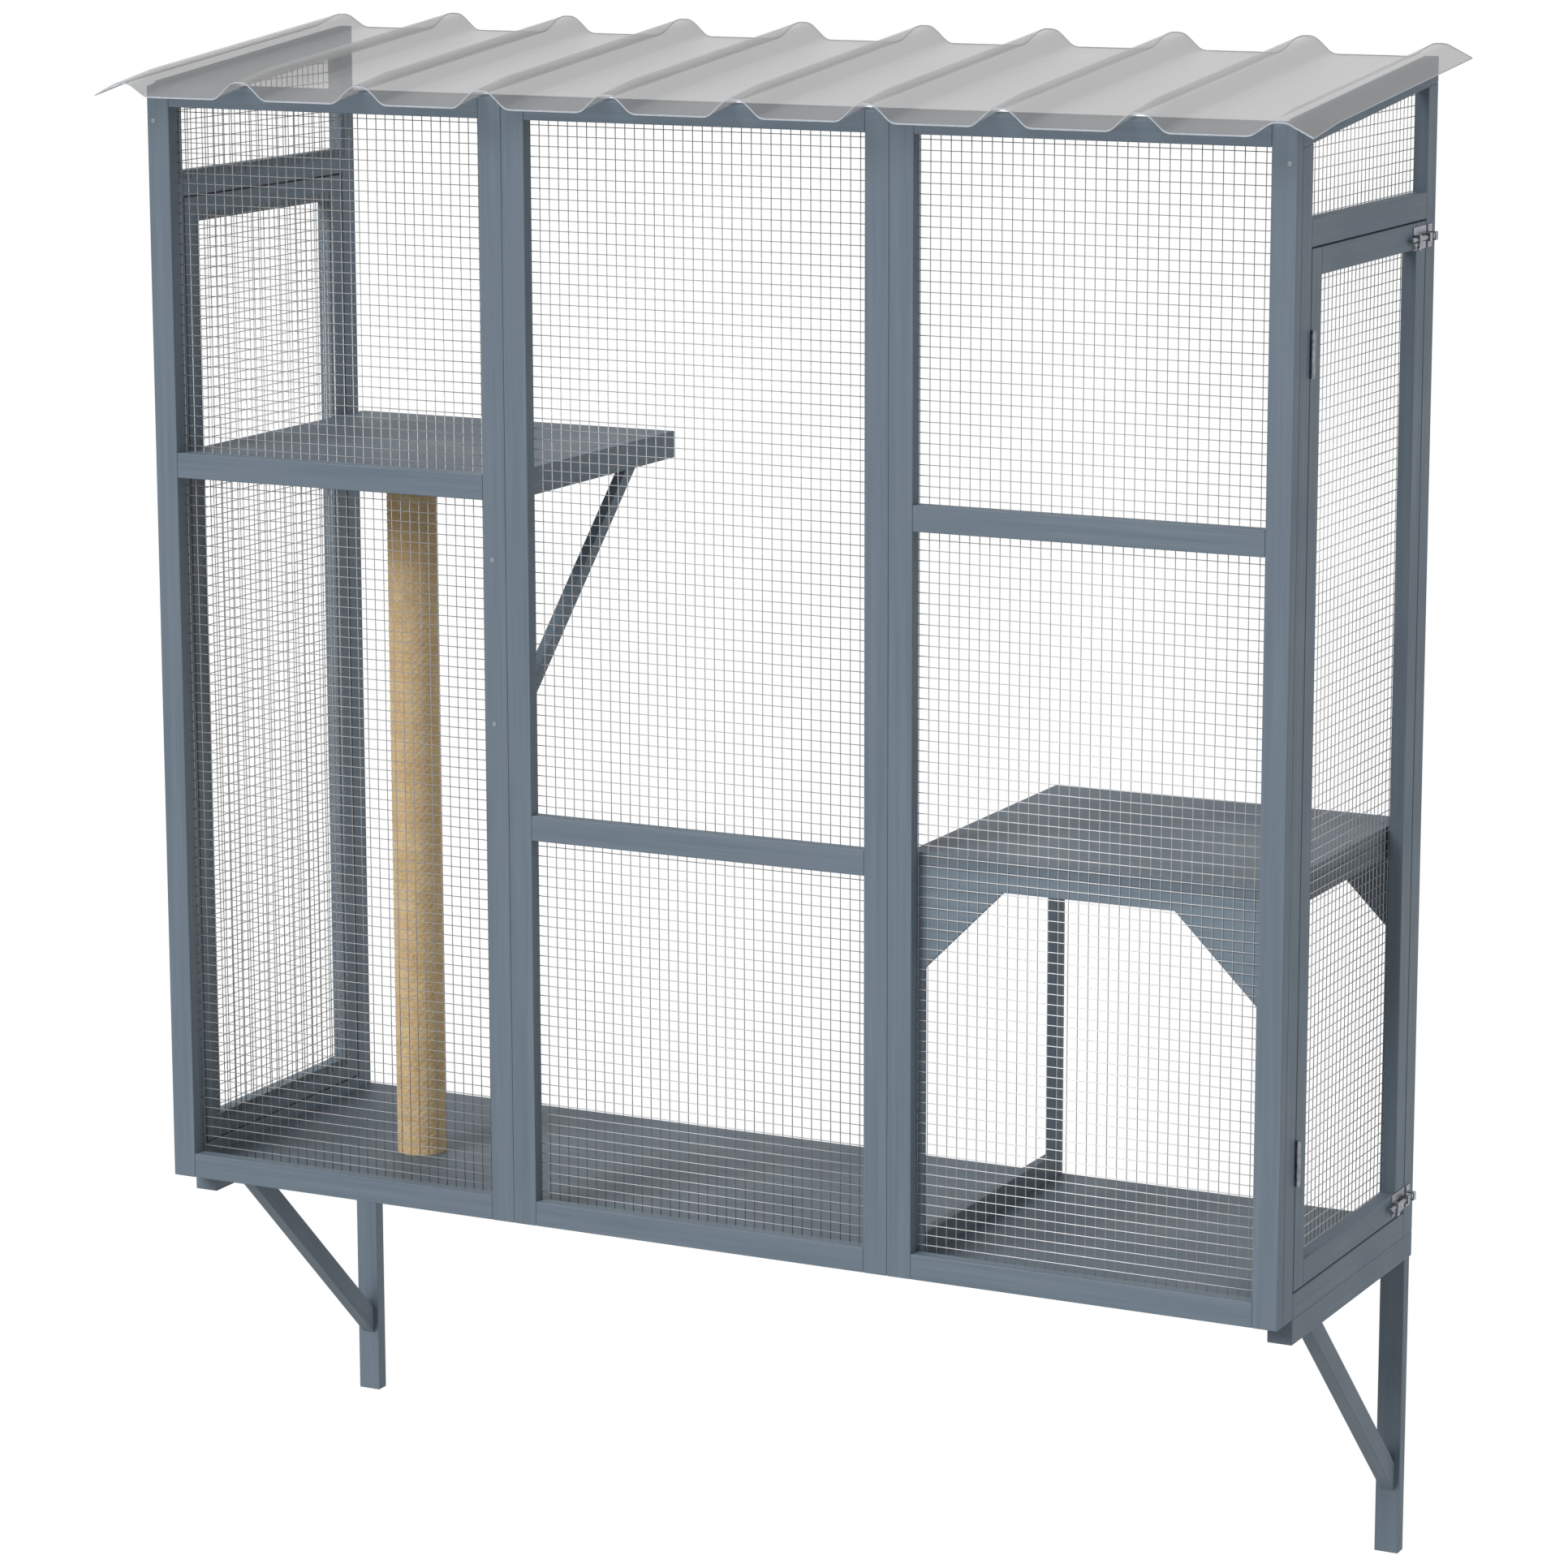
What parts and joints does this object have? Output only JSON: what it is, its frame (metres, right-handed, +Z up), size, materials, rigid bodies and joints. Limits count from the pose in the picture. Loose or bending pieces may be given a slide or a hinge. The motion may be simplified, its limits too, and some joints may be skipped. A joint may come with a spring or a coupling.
{
  "type": "window box catio",
  "caption": "Mesh-sided outdoor cat enclosure hung on a house wall, with side doors, a shelf, a scratching post, an arched house and a corrugated roof.",
  "frame": {"origin": "on the house wall plane, midway across, at the underside of the floor board", "axes": "+X to the right as seen from in front, +Y towards the house wall, +Z up"},
  "size_m": [1.5758, 0.516, 1.8591],
  "materials": {
    "painted_wood": "grey-blue paint on planed softwood",
    "painted_board": "grey-blue paint on flat board",
    "wire": "galvanised welded wire",
    "hardware": "zinc plated",
    "roof_plastic": "smoky translucent sheet",
    "sisal": "woven sisal"
  },
  "bodies": {
    "frame": {"left_panel_stiles": "painted_wood", "left_panel_top_rail": "painted_wood", "left_panel_mid_rail": "painted_wood", "left_panel_bottom_rail": "painted_wood", "left_panel_net": "wire", "middle_panel_stiles": "painted_wood", "middle_panel_top_rail": "painted_wood", "middle_panel_mid_rail": "painted_wood", "middle_panel_bottom_rail": "painted_wood", "middle_panel_net": "wire", "right_panel_stiles": "painted_wood", "right_panel_top_rail": "painted_wood", "right_panel_mid_rail": "painted_wood", "right_panel_bottom_rail": "painted_wood", "right_panel_net": "wire", "front_screws": "hardware", "left_wall_stiles": "painted_wood", "left_wall_top_rail": "painted_wood", "left_wall_cross_rail": "painted_wood", "left_wall_bottom_rail": "painted_wood", "left_transom_net": "wire", "right_wall_stiles": "painted_wood", "right_wall_top_rail": "painted_wood", "right_wall_cross_rail": "painted_wood", "right_wall_bottom_rail": "painted_wood", "right_transom_net": "wire", "left_frame_leaves": "hardware", "right_frame_leaves": "hardware", "hinge_pins": "hardware", "bolt_keeps": "hardware", "roof_sheet": "roof_plastic", "floor_board": "painted_board", "shelf_board": "painted_board", "shelf_edge_board": "painted_wood", "shelf_battens": "painted_wood", "shelf_brace": "painted_wood", "sisal_post": "sisal", "house_platform": "painted_board", "house_front_arch": "painted_board", "house_rear_arch": "painted_board", "house_legs": "painted_wood", "house_top_rails": "painted_wood", "house_base_rails": "painted_wood", "bracket_arms": "painted_wood", "bracket_legs": "painted_wood", "bracket_braces": "painted_wood"},
    "left_door": {"left_door_stiles": "painted_wood", "left_door_rails": "painted_wood", "left_door_net": "wire", "left_door_leaves": "hardware", "left_bolt_cases": "hardware"},
    "right_door": {"right_door_stiles": "painted_wood", "right_door_rails": "painted_wood", "right_door_net": "wire", "right_door_leaves": "hardware", "right_bolt_cases": "hardware"},
    "left_upper_bolt": {"left_upper_bolt": "hardware"},
    "left_lower_bolt": {"left_lower_bolt": "hardware"},
    "right_upper_bolt": {"right_upper_bolt": "hardware"},
    "right_lower_bolt": {"right_lower_bolt": "hardware"}
  },
  "joints": [
    {"name": "left_door_hinge", "type": "hinge", "parent": "frame", "child": "left_door", "pos_m": [-0.753, -0.405, 0.6355], "axis": [0, 0, 1], "range_deg": [0, 170]},
    {"name": "right_door_hinge", "type": "hinge", "parent": "frame", "child": "right_door", "pos_m": [0.753, -0.405, 0.6355], "axis": [0, 0, -1], "range_deg": [0, 170]},
    {"name": "left_upper_bolt_slide", "type": "slide", "parent": "left_door", "child": "left_upper_bolt", "axis": [0, 1, 0], "range_m": [0, 0.022]},
    {"name": "left_lower_bolt_slide", "type": "slide", "parent": "left_door", "child": "left_lower_bolt", "axis": [0, 1, 0], "range_m": [0, 0.022]},
    {"name": "right_upper_bolt_slide", "type": "slide", "parent": "right_door", "child": "right_upper_bolt", "axis": [0, 1, 0], "range_m": [0, 0.022]},
    {"name": "right_lower_bolt_slide", "type": "slide", "parent": "right_door", "child": "right_lower_bolt", "axis": [0, 1, 0], "range_m": [0, 0.022]}
  ]
}
